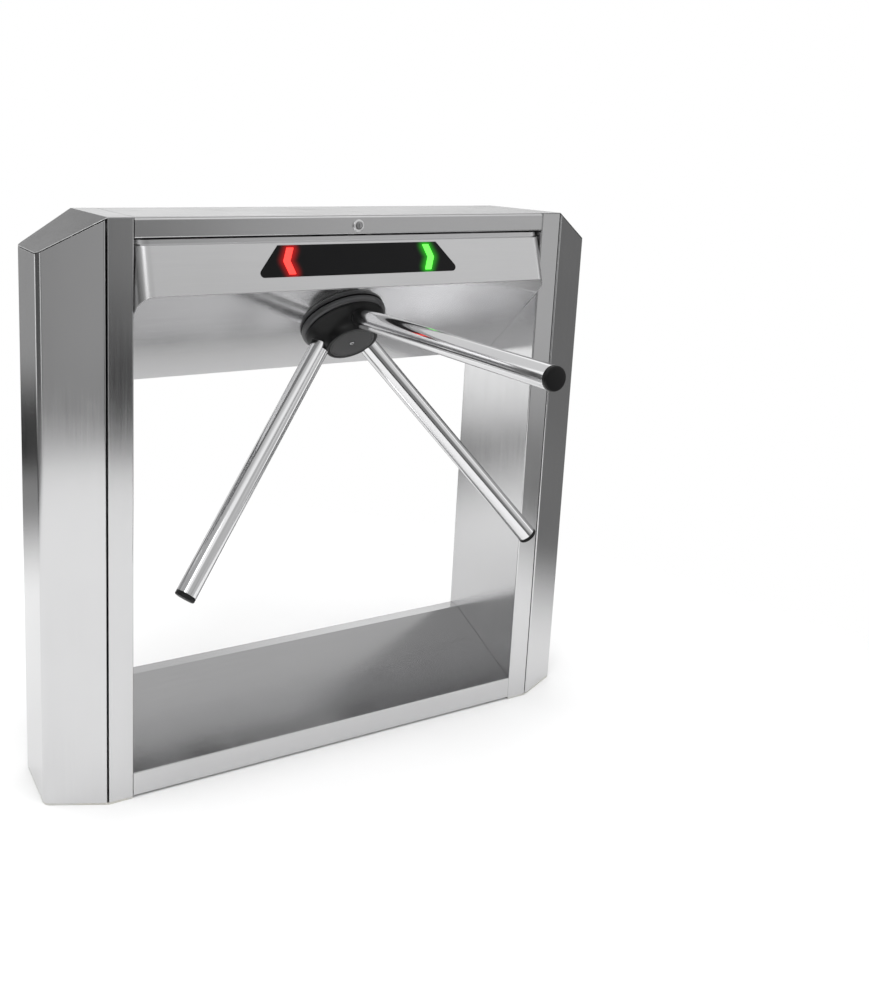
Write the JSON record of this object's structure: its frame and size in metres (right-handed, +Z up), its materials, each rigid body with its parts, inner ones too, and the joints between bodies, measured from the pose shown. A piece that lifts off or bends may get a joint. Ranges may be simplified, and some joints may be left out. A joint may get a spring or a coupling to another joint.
{
  "type": "tripod turnstile",
  "caption": "Waist-high tripod turnstile: open stainless cabinet on end posts, tilted hub with tube arms, sign strip with stop and go arrows, hinged locking lid.",
  "frame": {"origin": "on the floor, under the middle of the whole turnstile's box, arms included", "axes": "+X along the cabinet, which is the way people walk; the arms stand out towards -Y; +Z up"},
  "size_m": [1.12, 0.7496, 1.02],
  "materials": {
    "brushed_stainless": "brushed",
    "polished_tube": "polished",
    "black_plastic": "satin",
    "black_glass": "gloss",
    "stop_light": "gloss",
    "go_light": "gloss",
    "circuit_board": "satin",
    "zinc_plate": "zinc plated",
    "machined_steel": "machined",
    "chrome_lock": "polished"
  },
  "bodies": {
    "cabinet": {"left_post_frame": "brushed_stainless", "right_post_frame": "brushed_stainless", "left_end_cover": "brushed_stainless", "right_end_cover": "brushed_stainless", "left_top_cap": "brushed_stainless", "right_top_cap": "brushed_stainless", "left_foot_plate": "zinc_plate", "right_foot_plate": "zinc_plate", "base_tray": "brushed_stainless", "hub_plate": "brushed_stainless", "fascia": "brushed_stainless", "display_glass": "black_glass", "stop_arrow_lens": "stop_light", "go_arrow_lens": "go_light", "indicator_board": "circuit_board", "housing_back": "brushed_stainless", "back_hinge_leaf": "zinc_plate", "hinge_pin": "machined_steel", "lock_keeper": "zinc_plate", "bearing_housing": "zinc_plate", "front_bearing": "machined_steel", "rear_bearing": "machined_steel", "mechanism_plate": "zinc_plate", "damper_body": "black_plastic", "left_solenoid": "zinc_plate", "right_solenoid": "zinc_plate", "encoder_board": "circuit_board", "control_board": "circuit_board", "power_supply": "zinc_plate"},
    "lid": {"lid": "brushed_stainless", "lid_hinge_leaf": "zinc_plate", "lock_barrel": "chrome_lock", "lock_nut": "zinc_plate"},
    "lock": {"lock_plug": "chrome_lock", "lock_cam": "machined_steel"},
    "rotor": {"main_shaft": "machined_steel", "shaft_nut": "zinc_plate", "damper_gear": "machined_steel", "index_cam": "machined_steel", "lock_disc": "machined_steel", "encoder_disc": "black_plastic", "hub_flange": "black_plastic", "hub_body": "black_plastic", "hub_cap": "black_plastic", "hub_screw": "machined_steel", "front_arm": "polished_tube", "left_arm": "polished_tube", "right_arm": "polished_tube", "front_arm_cap": "black_plastic", "left_arm_cap": "black_plastic", "right_arm_cap": "black_plastic"},
    "damper": {"damper_pinion": "machined_steel"},
    "lever": {"centring_lever": "zinc_plate", "lever_roller": "machined_steel", "lever_spring": "machined_steel"},
    "left_pawl": {"left_pawl": "machined_steel"},
    "right_pawl": {"right_pawl": "machined_steel"},
    "left_plunger": {"left_plunger": "machined_steel"},
    "right_plunger": {"right_plunger": "machined_steel"}
  },
  "joints": [
    {"name": "rotor_turn", "type": "hinge", "parent": "cabinet", "child": "rotor", "pos_m": [0, 0.2072, 0.84], "axis": [0, -0.7071, -0.7071], "continuous": true},
    {"name": "damper_turn", "type": "hinge", "parent": "cabinet", "child": "damper", "pos_m": [0, 0.2456, 0.8016], "axis": [0, -0.7071, -0.7071], "continuous": true},
    {"name": "lever_swing", "type": "hinge", "parent": "cabinet", "child": "lever", "pos_m": [-0.06, 0.16866, 0.87854], "axis": [0, -0.7071, -0.7071], "range_deg": [0, 11], "stiffness_Nm_per_rad": 0.3, "springref_deg": -2.86},
    {"name": "left_pawl_swing", "type": "hinge", "parent": "cabinet", "child": "left_pawl", "pos_m": [-0.066, 0.18599, 0.86121], "axis": [0, -0.7071, -0.7071], "range_deg": [0, 8.5], "stiffness_Nm_per_rad": 0.3, "springref_deg": -2.86},
    {"name": "right_pawl_swing", "type": "hinge", "parent": "cabinet", "child": "right_pawl", "pos_m": [0.066, 0.18599, 0.86121], "axis": [0, 0.7071, 0.7071], "range_deg": [0, 8.5], "stiffness_Nm_per_rad": 0.3, "springref_deg": -2.86},
    {"name": "left_plunger_push", "type": "slide", "parent": "cabinet", "child": "left_plunger", "axis": [1, 0, 0], "range_m": [0, 0.0075]},
    {"name": "right_plunger_push", "type": "slide", "parent": "cabinet", "child": "right_plunger", "axis": [-1, 0, 0], "range_m": [0, 0.0075]},
    {"name": "lid_open", "type": "hinge", "parent": "cabinet", "child": "lid", "pos_m": [0, 0.3713, 1.002], "axis": [-1, 0, 0], "range_deg": [0, 100]},
    {"name": "lock_turn", "type": "hinge", "parent": "lid", "child": "lock", "pos_m": [0, 0.1512, 1.001], "axis": [0, -1, 0], "range_deg": [0, 90]}
  ],
  "couplings": [
    {"joint": "damper_turn", "follows": "rotor_turn", "ratio": -2},
    {"joint": "left_plunger_push", "follows": "left_pawl_swing", "m_per_rad": 0.05},
    {"joint": "right_plunger_push", "follows": "right_pawl_swing", "m_per_rad": 0.05}
  ]
}
